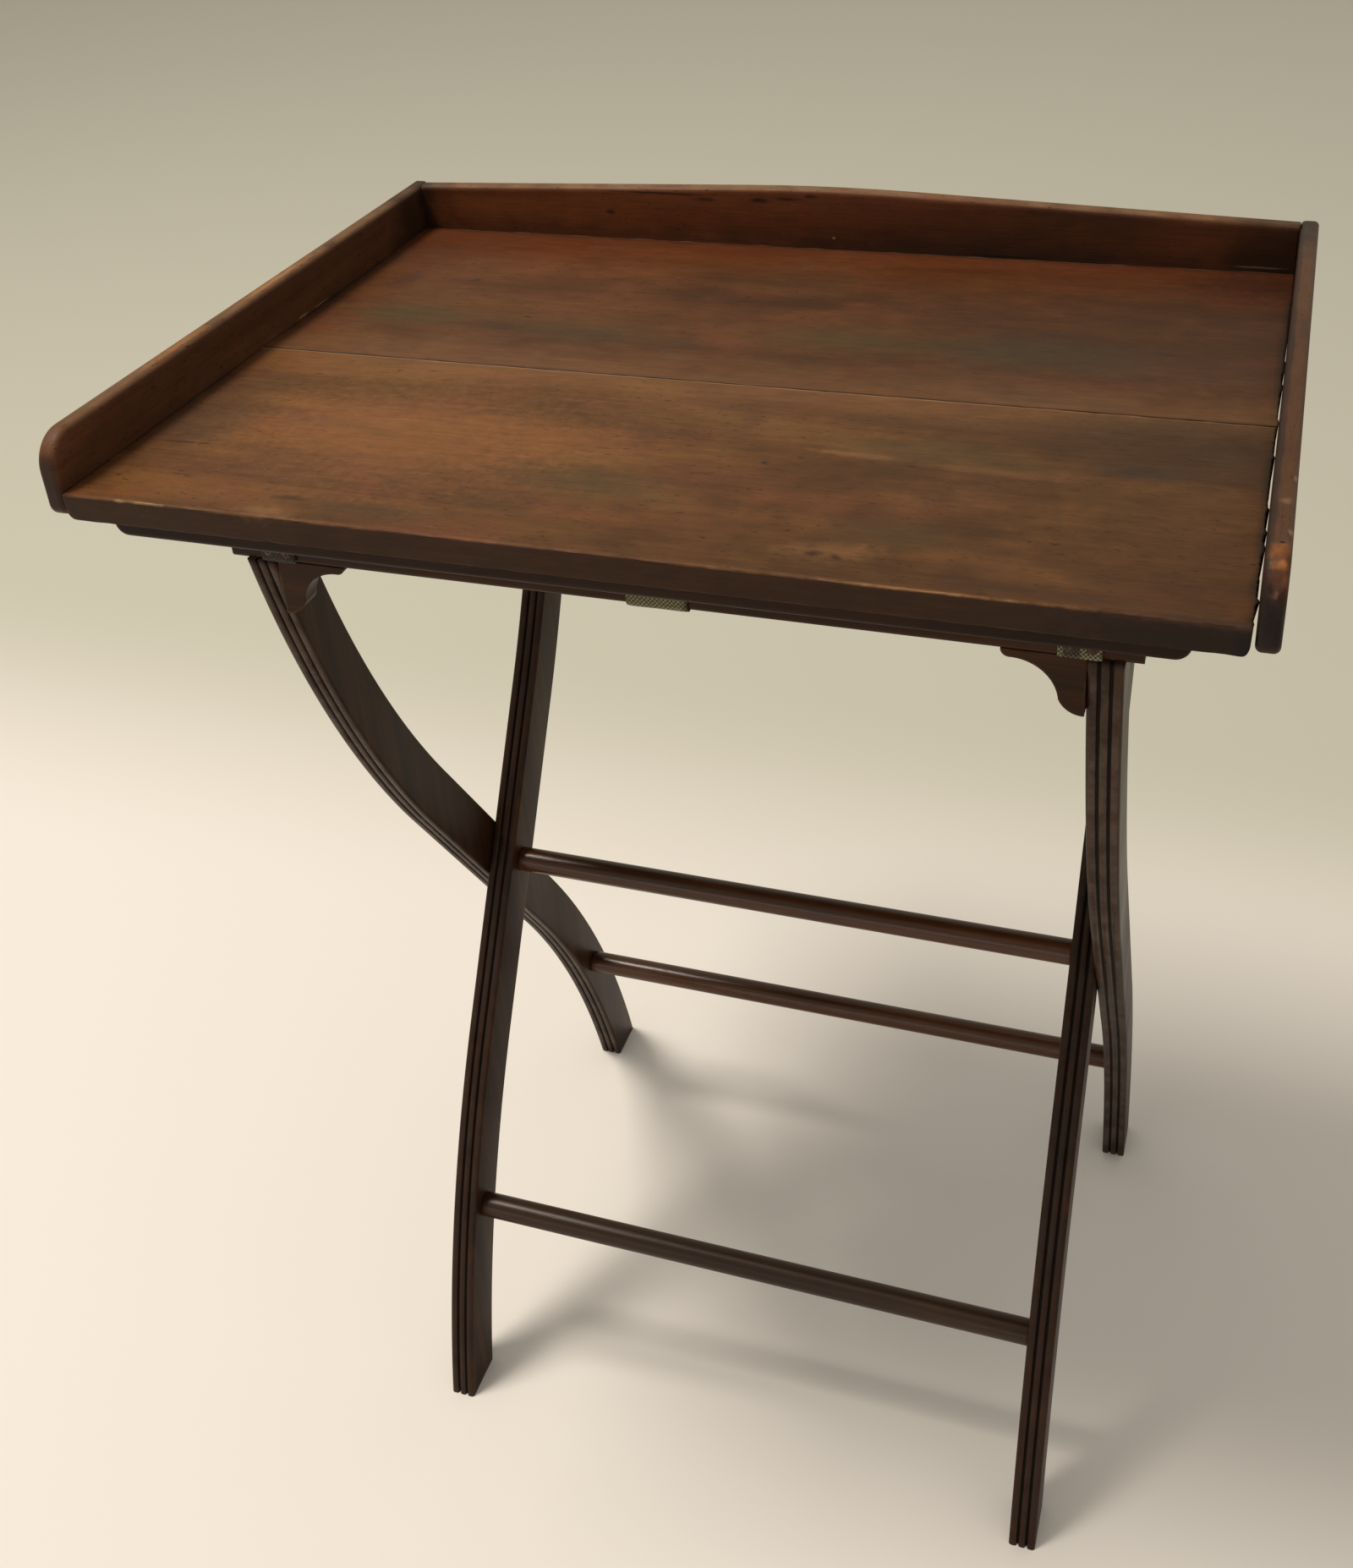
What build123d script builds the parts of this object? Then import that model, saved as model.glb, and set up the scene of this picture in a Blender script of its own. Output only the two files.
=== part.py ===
from build123d import *
import math
import os

# Butler's tray on a folding X-frame stand. Millimetres, +Z up, +X along the tray, +Y to its raised back.
# The origin is on the floor, under the middle of the tray.

# Tray boards
board_length = 666.0
front_board_depth = 223.0
back_board_depth = 249.0
board_thickness = 16.5
seam_gap = 0.4
shrinkage_gap = 3.4
board_arris_radius = 1.2

# Gallery round three sides
gallery_thickness = 12.0
gallery_end_height = 34.0
gallery_crown_height = 44.5
gallery_crown_half_width = 62.0
gallery_front_radius = 22.0
gallery_toe_radius = 8.0
gallery_top_radius = 3.5

# Battens under the tray, which stop it sliding off the rails
batten_end_inset = 28.0
batten_depth = 24.0
batten_height = 10.0
batten_setback = 4.0
batten_end_radius = 8.5
batten_arris_radius = 3.0

# Batten screws
screw_count = 4
screw_head_radius = 3.6
screw_shank_radius = 1.7
screw_length = 19.0
screw_fit = 0.05
screw_sink = 0.4
screw_slot_width = 1.0
screw_slot_depth = 0.9
screw_line_inset = 8.0

# Stand
tray_shift = 15.0
tray_overhang = 76.2
batten_rail_clearance = 5.75
stand_height = 780.0
pivot_height = 393.0
leg_thickness = 19.2
leg_face_gap = 0.3
leg_middle_width = 39.0
leg_end_width = 33.5
leg_straight_half = 132.0
leg_bend_radius = 890.0
reed_groove_width = 1.6
reed_groove_depth = 2.0
reeds = 3

# Top rails
rail_height = 33.0
rail_depth = 32.0
rail_overhang = 9.5
rail_arris_radius = 3.0
rail_tenon_width = 9.0
rail_tenon_depth = 16.0
rail_tenon_height = 18.0
joint_clearance = 0.1

# Brackets in the corners under the rails
bracket_width = 44.8
bracket_height = 36.3
bracket_thickness = 14.0
bracket_setback = 1.0
bracket_nib = 4.8
bracket_nib_bulge_share = 0.707
bracket_hollow_shares = (0.455, 0.36)
bracket_knee_shares = (0.31, 0.75)
bracket_swell_shares = (0.17, 0.95)

# Rods
rod_radius = 9.5
rod_tenon_radius = 6.0
rod_tenon_length = 12.5
rod_arris_radius = 0.8
lower_rod_height = 152.0
pivot_tenon_depth = 13.0
pivot_running_clearance = 0.08

# Webbing straps and tacks
webbing_thickness = 1.5
webbing_clearance = 0.25
middle_strap_width = 37.0
side_strap_width = 24.0
side_strap_inset = 22.8
middle_strap_place = 3.7
strap_hem = 1.0
strap_lip = 25.0
tack_head_radius = 3.0
tack_head_height = 1.3
tack_shank_radius = 0.8
tack_length = 9.0
tack_hole_clearance = 0.2
tack_fit = 0.02
side_tack_count = 2
middle_tack_count = 3
tack_edge_share = 0.25

overrun = 20.0

# Places that follow from the sizes
rail_top_height = stand_height + rail_height
webbing_growth = webbing_clearance + webbing_thickness
board_underside_height = rail_top_height + webbing_growth + webbing_clearance
half_board = board_length / 2
board_depth = front_board_depth + back_board_depth
tray_depth = board_depth + gallery_thickness
tray_front = -tray_depth / 2
board_back = tray_front + board_depth
seam_place = tray_front + front_board_depth
board_top_height = board_underside_height + board_thickness
batten_length = board_length - 2 * batten_end_inset
outer_leg_face = half_board - tray_overhang
inner_leg_face = outer_leg_face - leg_thickness - leg_face_gap
rail_front_face = -tray_front - batten_setback - batten_depth - batten_rail_clearance - webbing_growth
rail_middle = rail_front_face - rail_depth / 2
side_strap_place = outer_leg_face - side_strap_inset
rail_half_length = outer_leg_face + rail_overhang

os.makedirs("parts", exist_ok=True)


def block(x_range, y_range, z_range):
    size = (x_range[1] - x_range[0], y_range[1] - y_range[0], z_range[1] - z_range[0])
    centre = (sum(x_range) / 2, sum(y_range) / 2, sum(z_range) / 2)
    return Pos(*centre) * Box(*size)


def spread(outline, x_range):
    # An outline drawn in Y and Z becomes a solid between two places along X.
    face = Plane.YZ.offset(x_range[0]) * outline
    return extrude(face, amount=x_range[1] - x_range[0], dir=(1, 0, 0))


def deepen(outline, y_range):
    # An outline drawn in X and Z becomes a solid between two places along Y.
    face = Plane((0, y_range[0], 0), x_dir=(1, 0, 0), z_dir=(0, -1, 0)) * outline
    return extrude(face, amount=y_range[1] - y_range[0], dir=(0, 1, 0))


def pin(radius, start, end):
    axis = Vector(*end) - Vector(*start)
    return Plane(origin=start, z_dir=axis) * Cylinder(
        radius, axis.length, align=(Align.CENTER, Align.CENTER, Align.MIN)
    )


# Tray

def board(y_range):
    # The right end is cut a little askew: the boards have shrunk away from the gallery at the front.
    def right_end(y):
        return half_board - seam_gap - (shrinkage_gap - seam_gap) * (board_back - y) / board_depth

    outline = make_face(
        Polyline(
            (-half_board, y_range[0]),
            (right_end(y_range[0]), y_range[0]),
            (right_end(y_range[1]), y_range[1]),
            (-half_board, y_range[1]),
            close=True,
        )
    )
    solid = extrude(Pos(0, 0, board_underside_height) * outline, amount=board_thickness)
    return solid


def tray_board_front():
    solid = board((tray_front, seam_place - seam_gap / 2))
    front_edges = solid.edges().filter_by(Axis.X).group_by(Axis.Y)[0]
    return fillet(front_edges, board_arris_radius)


def tray_board_back():
    return board((seam_place + seam_gap / 2, board_back))


def gallery_side(side):
    # A straight slip with a large rounded front top corner and a small rounded toe.
    low = board_underside_height
    top = board_top_height + gallery_end_height
    toe = tray_front + gallery_toe_radius
    shoulder = tray_front + gallery_front_radius
    outline = make_face(
        [
            Line((toe, low), (-tray_front, low)),
            Line((-tray_front, low), (-tray_front, top)),
            Line((-tray_front, top), (shoulder, top)),
            RadiusArc((shoulder, top), (tray_front, top - gallery_front_radius), -gallery_front_radius),
            Line((tray_front, top - gallery_front_radius), (tray_front, low + gallery_toe_radius)),
            RadiusArc((tray_front, low + gallery_toe_radius), (toe, low), -gallery_toe_radius),
        ]
    )
    solid = spread(outline, (half_board, half_board + gallery_thickness))
    top_edges = solid.edges().filter_by(Axis.Y).group_by(Axis.Z)[-1]
    solid = fillet(top_edges, gallery_top_radius)
    return solid if side > 0 else solid.mirror(Plane.YZ)


def gallery_back():
    # Straight flanks rise to a rounded crown at the middle.
    low = board_top_height + gallery_end_height
    rise = gallery_crown_height - gallery_end_height
    slope = rise / (half_board - gallery_crown_half_width / 2)
    shoulder = low + slope * (half_board - gallery_crown_half_width)
    outline = make_face(
        [
            Line((-half_board, board_underside_height), (half_board, board_underside_height)),
            Line((half_board, board_underside_height), (half_board, low)),
            Line((half_board, low), (gallery_crown_half_width, shoulder)),
            ThreePointArc(
                (gallery_crown_half_width, shoulder),
                (0, shoulder + slope * gallery_crown_half_width / 2),
                (-gallery_crown_half_width, shoulder),
            ),
            Line((-gallery_crown_half_width, shoulder), (-half_board, low)),
            Line((-half_board, low), (-half_board, board_underside_height)),
        ]
    )
    solid = deepen(outline, (board_back, board_back + gallery_thickness))
    top_edges = [
        edge
        for edge in solid.edges()
        if edge.center().Z > low - board_arris_radius and edge.length > gallery_crown_half_width
    ]
    return fillet(top_edges, gallery_top_radius)


def batten_places():
    reach = -tray_front - batten_setback
    return {"front": (-reach, -reach + batten_depth), "back": (reach - batten_depth, reach)}


def batten(where):
    # A flat slip whose lower corners are rounded at the ends and whose lower arris is eased.
    end = batten_length / 2
    toe = end - batten_end_radius
    high = board_underside_height
    low = high - batten_height
    bend = low + batten_end_radius
    outline = make_face(
        [
            Line((-end, high), (-end, bend)),
            RadiusArc((-end, bend), (-toe, low), -batten_end_radius),
            Line((-toe, low), (toe, low)),
            RadiusArc((toe, low), (end, bend), -batten_end_radius),
            Line((end, bend), (end, high)),
            Line((end, high), (-end, high)),
        ]
    )
    solid = deepen(outline, batten_places()[where])
    edge_group = 0 if where == "front" else -1
    outer = solid.edges().filter_by(Axis.X).group_by(Axis.Z)[0].group_by(Axis.Y)[edge_group]
    solid = fillet(outer, batten_arris_radius)
    for place in screw_places(where):
        solid -= screw_body(place, screw_fit)
    return solid


def screw_places(where):
    # The screws stand in a row near the batten's inner edge, so that the back ones meet the board.
    y_range = batten_places()[where]
    line = y_range[1] - screw_line_inset if where == "front" else y_range[0] + screw_line_inset
    pitch = batten_length / screw_count
    first = -batten_length / 2 + pitch / 2
    low = board_underside_height - batten_height + screw_sink
    return [(first + pitch * number, line, low) for number in range(screw_count)]


def screw_body(place, extra):
    # A countersunk screw, head down, driven up through the batten into the board.
    x, y, low = place
    radius = screw_head_radius + extra
    shank = screw_shank_radius + extra
    cone_height = radius - shank
    cone = Pos(x, y, low) * Cone(radius, shank, cone_height, align=(Align.CENTER, Align.CENTER, Align.MIN))
    body = cone + pin(shank, (x, y, low), (x, y, low + screw_length + extra))
    if extra > 0:
        body += pin(radius, (x, y, low - overrun), (x, y, low))
    return body


def batten_screw(place):
    x, y, low = place
    slot = block(
        (x - screw_head_radius, x + screw_head_radius),
        (y - screw_slot_width / 2, y + screw_slot_width / 2),
        (low, low + screw_slot_depth),
    )
    return screw_body(place, 0) - slot


def drilled_board(solid, where):
    for place in screw_places(where):
        solid -= screw_body(place, screw_fit)
    return solid


# Legs

def straight_angle():
    # The lean of the leg's straight middle that brings the bend's upper end under the rail's middle.
    # The bend's centre lies at the far corner of a triangle whose other sides are known.
    rise = stand_height - pivot_height
    reach = math.hypot(rail_middle, rise)
    swing = math.hypot(leg_bend_radius, leg_straight_half)
    corner = math.acos(-(leg_straight_half**2 + reach**2) / (2 * swing * reach))
    return corner - math.atan2(rise, rail_middle) - math.atan2(leg_straight_half, leg_bend_radius)


def leg_place(height):
    # How far the leg's centre line stands from the pivot at a height on its bends.
    angle = straight_angle()
    rise = abs(height - pivot_height) - leg_straight_half * math.cos(angle)
    end_angle = math.asin(math.sin(angle) - rise / leg_bend_radius)
    return leg_straight_half * math.sin(angle) + leg_bend_radius * (math.cos(end_angle) - math.cos(angle))


def leg_point(distance, offset):
    # A place beside the leg's centre line, measured from the pivot along a straight and then an arc.
    angle = straight_angle()
    sign = 1 if distance >= 0 else -1
    along = abs(distance)
    straight = min(along, leg_straight_half)
    turn = (along - straight) / leg_bend_radius
    y = straight * math.sin(angle) + leg_bend_radius * (math.cos(angle - turn) - math.cos(angle))
    z = straight * math.cos(angle) + leg_bend_radius * (math.sin(angle) - math.sin(angle - turn))
    y = sign * y + offset * math.cos(angle - turn)
    z = sign * z - offset * math.sin(angle - turn)
    return (y, pivot_height + z)


def leg_outline(inset, lean):
    # Top at the back and foot at the front where lean is 1, the other way round where it is -1.
    middle = leg_middle_width / 2 - inset
    end = leg_end_width / 2 - inset
    halfway = (middle + end) / 2
    reach = math.hypot(rail_front_face, stand_height - pivot_height) + overrun
    bend_middle = (leg_straight_half + reach) / 2

    def point(distance, offset):
        y, z = leg_point(distance, offset)
        return (lean * y, z)

    def edge(side):
        return [
            ThreePointArc(
                point(-reach, side * end),
                point(-bend_middle, side * halfway),
                point(-leg_straight_half, side * middle),
            ),
            Line(point(-leg_straight_half, side * middle), point(leg_straight_half, side * middle)),
            ThreePointArc(
                point(leg_straight_half, side * middle),
                point(bend_middle, side * halfway),
                point(reach, side * end),
            ),
        ]

    caps = [Line(point(reach, -end), point(reach, end)), Line(point(-reach, -end), point(-reach, end))]
    return make_face(edge(1) + edge(-1) + caps)


def leg(x_range, lean):
    # A flat S-curved leg with three reeds down each narrow edge and a tenon at the top.
    leg_slab = block(x_range, (-stand_height, stand_height), (0, stand_height))
    body = spread(leg_outline(0, lean), x_range) & leg_slab
    core = spread(leg_outline(reed_groove_depth, lean), x_range)
    reed_pitch = leg_thickness / reeds
    for number in range(1, reeds):
        middle = x_range[0] + reed_pitch * number
        groove = block(
            (middle - reed_groove_width / 2, middle + reed_groove_width / 2),
            (-stand_height, stand_height),
            (-overrun, stand_height + overrun),
        )
        body -= groove - core
    body += rail_tenon(sum(x_range) / 2, lean, 0)
    return body


def rail_tenon(x, lean, extra):
    y = lean * rail_middle
    half_width = rail_tenon_width / 2 + extra
    half_depth = rail_tenon_depth / 2 + extra
    return block(
        (x - half_width, x + half_width),
        (y - half_depth, y + half_depth),
        (stand_height - (overrun if extra > 0 else 0), stand_height + rail_tenon_height + extra),
    )


outer_leg_range = (outer_leg_face - leg_thickness, outer_leg_face)
inner_leg_range = (inner_leg_face - leg_thickness, inner_leg_face)


def side_range(x_range, side):
    return x_range if side > 0 else (-x_range[1], -x_range[0])


def rod_socket(face, side, y, z):
    # A blind hole in a leg's inner face for a lower rod's tenon.
    deep = face + side * (rod_tenon_length + joint_clearance)
    return pin(rod_tenon_radius + joint_clearance, (face - side * overrun, y, z), (deep, y, z))


def outer_leg(side):
    # Top at the front, foot at the back, outside the other frame.
    x_range = side_range(outer_leg_range, side)
    body = leg(x_range, -1)
    face = side * outer_leg_range[0]
    body -= rod_socket(face, side, leg_place(lower_rod_height), lower_rod_height)
    running = rod_tenon_radius + pivot_running_clearance
    bearing = face + side * (pivot_tenon_depth + joint_clearance)
    body -= pin(running, (face - side * overrun, 0, pivot_height), (bearing, 0, pivot_height))
    return body


def inner_leg(side):
    # Top at the back, foot at the front, between the outer legs.
    x_range = side_range(inner_leg_range, side)
    body = leg(x_range, 1)
    face = side * inner_leg_range[0]
    body -= rod_socket(face, side, -leg_place(lower_rod_height), lower_rod_height)
    radius = rod_tenon_radius + joint_clearance
    through = face + side * (leg_thickness + overrun)
    body -= pin(radius, (face - side * overrun, 0, pivot_height), (through, 0, pivot_height))
    return body


# Rails and brackets

def top_rail(lean, leg_range):
    # A square rail with eased arrises, mortised for the two leg tenons.
    y_range = sorted((lean * rail_front_face, lean * (rail_front_face - rail_depth)))
    body = block((-rail_half_length, rail_half_length), y_range, (stand_height, rail_top_height))
    body = fillet(body.edges().filter_by(Axis.X), rail_arris_radius)
    for side in (-1, 1):
        body -= rail_tenon(side * sum(leg_range) / 2, lean, joint_clearance)
    for place in tack_places(lean):
        body -= tack_shank(place, tack_fit)
    return body


def bracket(side, lean, leg_range):
    # An ogee corner block: a nib and a hollow under the rail, then a round that meets the leg.
    face = leg_range[0]
    high = stand_height
    low = stand_height - bracket_height
    start = face - bracket_width

    def corner(shares):
        return (face - bracket_width * shares[0], high - bracket_height * shares[1])

    knee = corner(bracket_knee_shares)
    nib = (start + bracket_nib, high - bracket_nib)
    bulge = bracket_nib * bracket_nib_bulge_share
    rounded = (nib[0] - bulge, high - bulge)
    outline = make_face(
        [
            ThreePointArc((start, high), rounded, nib),
            ThreePointArc(nib, corner(bracket_hollow_shares), knee),
            ThreePointArc(knee, corner(bracket_swell_shares), (face, low)),
            Line((face, low), (face, high)),
            Line((face, high), (start, high)),
        ]
    )
    near = rail_front_face - bracket_setback
    solid = deepen(outline, sorted((lean * near, lean * (near - bracket_thickness))))
    return solid if side > 0 else solid.mirror(Plane.YZ)


# Rods

def rod(half_length, y, z, tenon_length):
    body = pin(rod_radius, (-half_length, y, z), (half_length, y, z))
    body = fillet(body.edges(), rod_arris_radius)
    tenon_end = half_length + tenon_length
    return body + pin(rod_tenon_radius, (-tenon_end, y, z), (tenon_end, y, z))


def pivot_rod():
    reach = leg_thickness + leg_face_gap + pivot_tenon_depth
    return rod(inner_leg_range[0], 0, pivot_height, reach)


def outer_lower_rod():
    return rod(outer_leg_range[0], leg_place(lower_rod_height), lower_rod_height, rod_tenon_length)


def inner_lower_rod():
    return rod(inner_leg_range[0], -leg_place(lower_rod_height), lower_rod_height, rod_tenon_length)


# Webbing and tacks

strap_kinds = {
    "left": (-side_strap_place, side_strap_width, side_tack_count),
    "middle": (middle_strap_place, middle_strap_width, middle_tack_count),
    "right": (side_strap_place, side_strap_width, side_tack_count),
}


def rounded_outline(growth, low):
    # The rails' outer outline in Y and Z, grown by a gap or by the webbing as well.
    half = rail_front_face + growth
    high = rail_top_height + growth
    size = (2 * half, high - low)
    return Pos(0, (high + low) / 2) * RectangleRounded(*size, rail_arris_radius + growth)


def strap(name):
    # The middle strap wraps under each rail; the side straps stop on the rails' outer faces.
    place, width, _ = strap_kinds[name]
    x_range = (place - width / 2, place + width / 2)
    wrapped = name == "middle"
    low = stand_height - overrun
    outer_low = stand_height - webbing_growth if wrapped else low
    inner_low = stand_height - webbing_clearance if wrapped else low - overrun
    band = spread(rounded_outline(webbing_growth, outer_low), x_range)
    core_range = (x_range[0] - overrun, x_range[1] + overrun)
    band -= spread(rounded_outline(webbing_clearance, inner_low), core_range)
    reach = stand_height
    if wrapped:
        lip = rail_front_face - strap_lip
        band -= block((-reach, reach), (-lip, lip), (stand_height - overrun, stand_height + overrun))
    else:
        band -= block((-reach, reach), (-reach, reach), (low - overrun, stand_height + strap_hem))
    for lean in (-1, 1):
        for place in tack_places(lean, name):
            band -= tack_shank(place, tack_hole_clearance)
    return band


def tack_places(lean, only=None):
    # Each tack has a head centre and a direction in which it is driven.
    places = []
    for name, (middle, width, count) in strap_kinds.items():
        if only not in (None, name):
            continue
        spread_width = width * (1 - 2 * tack_edge_share)
        for number in range(count):
            x = middle - spread_width / 2 + spread_width * number / (count - 1)
            if name == "middle":
                y = lean * rail_middle
                places.append(((x, y, stand_height - webbing_growth), (0, 0, 1)))
            else:
                y = lean * (rail_front_face + webbing_growth)
                places.append(((x, y, stand_height + strap_hem + tack_head_radius * 2), (0, -lean, 0)))
    return places


def tack_shank(place, extra):
    head, way = place
    start = Vector(*head)
    end = start + Vector(*way) * (tack_length + extra)
    return pin(tack_shank_radius + extra, tuple(start), tuple(end))


def tack(place):
    # A domed head that sits on the webbing, with its shank in the rail, turned as one piece.
    head, way = place
    dome_radius = (tack_head_radius**2 + tack_head_height**2) / (2 * tack_head_height)
    half_way = tack_head_radius / 2
    half_height = math.sqrt(dome_radius**2 - half_way**2) - dome_radius + tack_head_height
    outline = make_face(
        [
            Line((0, -tack_length), (tack_shank_radius, -tack_length)),
            Line((tack_shank_radius, -tack_length), (tack_shank_radius, 0)),
            Line((tack_shank_radius, 0), (tack_head_radius, 0)),
            ThreePointArc((tack_head_radius, 0), (half_way, half_height), (0, tack_head_height)),
            Line((0, tack_head_height), (0, -tack_length)),
        ]
    )
    turned = revolve(Plane.XZ * outline, Axis.Z)
    return Plane(origin=head, z_dir=-Vector(*way)) * turned


# Everything in its place

pieces = {
    "tray_board_front": drilled_board(tray_board_front(), "front"),
    "tray_board_back": drilled_board(tray_board_back(), "back"),
    "gallery_left": gallery_side(-1),
    "gallery_right": gallery_side(1),
    "gallery_back": gallery_back(),
    "batten_front": batten("front"),
    "batten_back": batten("back"),
}
for where in ("front", "back"):
    for number, place in enumerate(screw_places(where), 1):
        pieces[f"batten_screw_{where}_{number}"] = batten_screw(place)

stand = {
    "outer_leg_left": outer_leg(-1),
    "outer_leg_right": outer_leg(1),
    "inner_leg_left": inner_leg(-1),
    "inner_leg_right": inner_leg(1),
    "front_top_rail": top_rail(-1, outer_leg_range),
    "back_top_rail": top_rail(1, inner_leg_range),
    "pivot_rod": pivot_rod(),
    "outer_lower_rod": outer_lower_rod(),
    "inner_lower_rod": inner_lower_rod(),
}
for side, side_name in ((-1, "left"), (1, "right")):
    stand[f"front_bracket_{side_name}"] = bracket(side, -1, outer_leg_range)
    stand[f"back_bracket_{side_name}"] = bracket(side, 1, inner_leg_range)
for strap_name in strap_kinds:
    stand[f"strap_{strap_name}"] = strap(strap_name)
    for lean, rail_name in ((-1, "front"), (1, "back")):
        for number, place in enumerate(tack_places(lean, strap_name), 1):
            stand[f"tack_{rail_name}_{strap_name}_{number}"] = tack(place)

for name, shape in stand.items():
    pieces[name] = Pos(tray_shift, 0, 0) * shape

for name, shape in pieces.items():
    export_step(shape, f"parts/{name}.step")
print("pieces", len(pieces))
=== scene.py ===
# Butler's tray on a folding stand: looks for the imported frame, in metres, +Z up
import bpy
import math
import numpy as np
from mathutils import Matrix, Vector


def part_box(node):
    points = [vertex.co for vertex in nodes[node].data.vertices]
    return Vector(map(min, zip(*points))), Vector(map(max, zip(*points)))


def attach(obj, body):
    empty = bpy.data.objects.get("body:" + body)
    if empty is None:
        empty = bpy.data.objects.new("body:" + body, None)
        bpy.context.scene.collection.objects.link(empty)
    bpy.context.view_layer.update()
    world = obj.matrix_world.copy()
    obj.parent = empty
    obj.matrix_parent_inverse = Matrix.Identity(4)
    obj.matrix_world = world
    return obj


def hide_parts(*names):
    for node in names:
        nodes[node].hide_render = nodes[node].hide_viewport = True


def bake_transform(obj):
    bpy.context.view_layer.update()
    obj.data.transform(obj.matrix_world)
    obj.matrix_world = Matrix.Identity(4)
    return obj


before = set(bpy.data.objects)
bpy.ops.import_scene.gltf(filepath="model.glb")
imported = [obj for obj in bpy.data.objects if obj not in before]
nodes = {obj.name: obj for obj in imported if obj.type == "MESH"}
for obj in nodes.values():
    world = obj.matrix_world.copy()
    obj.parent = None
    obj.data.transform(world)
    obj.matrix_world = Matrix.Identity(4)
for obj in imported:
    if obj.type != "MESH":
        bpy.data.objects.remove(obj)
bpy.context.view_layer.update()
mm = 0.001
tiny = 0.001 * mm               # for telling whether a point lies on a face
quarter = math.pi / 2
print("frame loaded:", len(nodes), "nodes")


# Small helpers

def linearColour(hexText, alpha=1.0):
    # sRGB hex to the linear values that a shader takes
    parts = [int(hexText[i:i + 2], 16) / 255 for i in (1, 3, 5)]
    return [p / 12.92 if p <= 0.04045 else ((p + 0.055) / 1.055) ** 2.4 for p in parts] + [alpha]


def addNode(tree, kind, inputs=None, stops=(), **settings):
    # One shader node with its settings, and its inputs linked or set; a ramp's stops are (place, hex colour)
    node = tree.nodes.new(kind)
    for key, value in settings.items():
        setattr(node, key, value)
    for key, value in (inputs or {}).items():
        if isinstance(value, bpy.types.NodeSocket):
            tree.links.new(value, node.inputs[key])
        else:
            node.inputs[key].default_value = value
    for index, (place, colour) in enumerate(stops):
        if index >= len(node.color_ramp.elements):
            node.color_ramp.elements.new(1.0)
        node.color_ramp.elements[index].position = place
        node.color_ramp.elements[index].color = linearColour(colour)
    return node


def newMaterial(name):
    material = bpy.data.materials.new(name)
    material.use_nodes = True
    tree = material.node_tree
    tree.nodes.clear()
    return material, tree


def meshPiece(name, points, faces, smooth=True):
    # points (n, 3) and faces (m, 4) as arrays become an object at the origin
    mesh = bpy.data.meshes.new(name)
    mesh.from_pydata(points, [], faces)
    mesh.polygons.foreach_set("use_smooth", np.full(len(mesh.polygons), smooth))
    mesh.update()
    piece = bpy.data.objects.new(name, mesh)
    bpy.context.scene.collection.objects.link(piece)
    return piece


def barFaces(rings, around):
    # Quads between neighbouring rings; each ring is two facing rows, so quads from row to row close both ends
    i, j = np.meshgrid(np.arange(rings - 1), np.arange(around), indexing="ij")
    k = (j + 1) % around
    sides = np.stack([i * around + j, i * around + k, (i + 1) * around + k, (i + 1) * around + j], -1)
    i = np.arange(around // 2 - 1)
    end = np.stack([i, i + 1, around - 2 - i, around - 1 - i], -1)
    return np.concatenate([sides.reshape(-1, 4), end[:, ::-1], (rings - 1) * around + end])


# Legs: S-curved, with three rounded reeds down each narrow edge

leg = {
    "straightHalf": 132 * mm,
    "bendRadius": 890 * mm,
    "middleWidth": 39 * mm,
    "endWidth": 33.5 * mm,
    "footWidth": 36.5 * mm,
    "tenonHeight": 18 * mm,
    "reedCrown": 0.4 * mm,      # how far a reed's middle stands above its sides
    "grooveDepth": 1.9 * mm,
    "grooveHalf": 0.8 * mm,
    "arrisRadius": 1.3 * mm,
    "levels": 170,              # rows of points from foot to top
    "linePoints": 400,          # along the middle line, which overruns the leg
    "overrun": 1.1,
    "edgePoints": 31,           # across an edge, with groovePoints more at each groove
    "groovePoints": 15,
    "grooveReach": 1.5 * mm,
    "arrisPoints": 7,
}


def legCentre(distance, lean, pivotHeight, railMiddle, topHeight):
    # Straight through the pivot for straightHalf, then an arc of bendRadius towards upright;
    # the straight's angle is the one that brings the upper end under the rail's middle
    half, radius = leg["straightHalf"], leg["bendRadius"]
    rise = topHeight - pivotHeight
    reach, swing = math.hypot(railMiddle, rise), math.hypot(radius, half)
    corner = math.acos(-(half ** 2 + reach ** 2) / (2 * swing * reach))
    angle = corner - math.atan2(rise, railMiddle) - math.atan2(half, radius)
    along = np.abs(distance)
    straight = np.minimum(along, half)
    bend = angle - (along - straight) / radius
    y = straight * math.sin(angle) + radius * (np.cos(bend) - math.cos(angle))
    z = straight * math.cos(angle) + radius * (math.sin(angle) - np.sin(bend))
    sign = np.sign(distance)
    normal = np.stack([lean * np.cos(bend), -np.sin(bend)], -1)
    return np.stack([lean * sign * y, pivotHeight + sign * z], -1), normal


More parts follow.
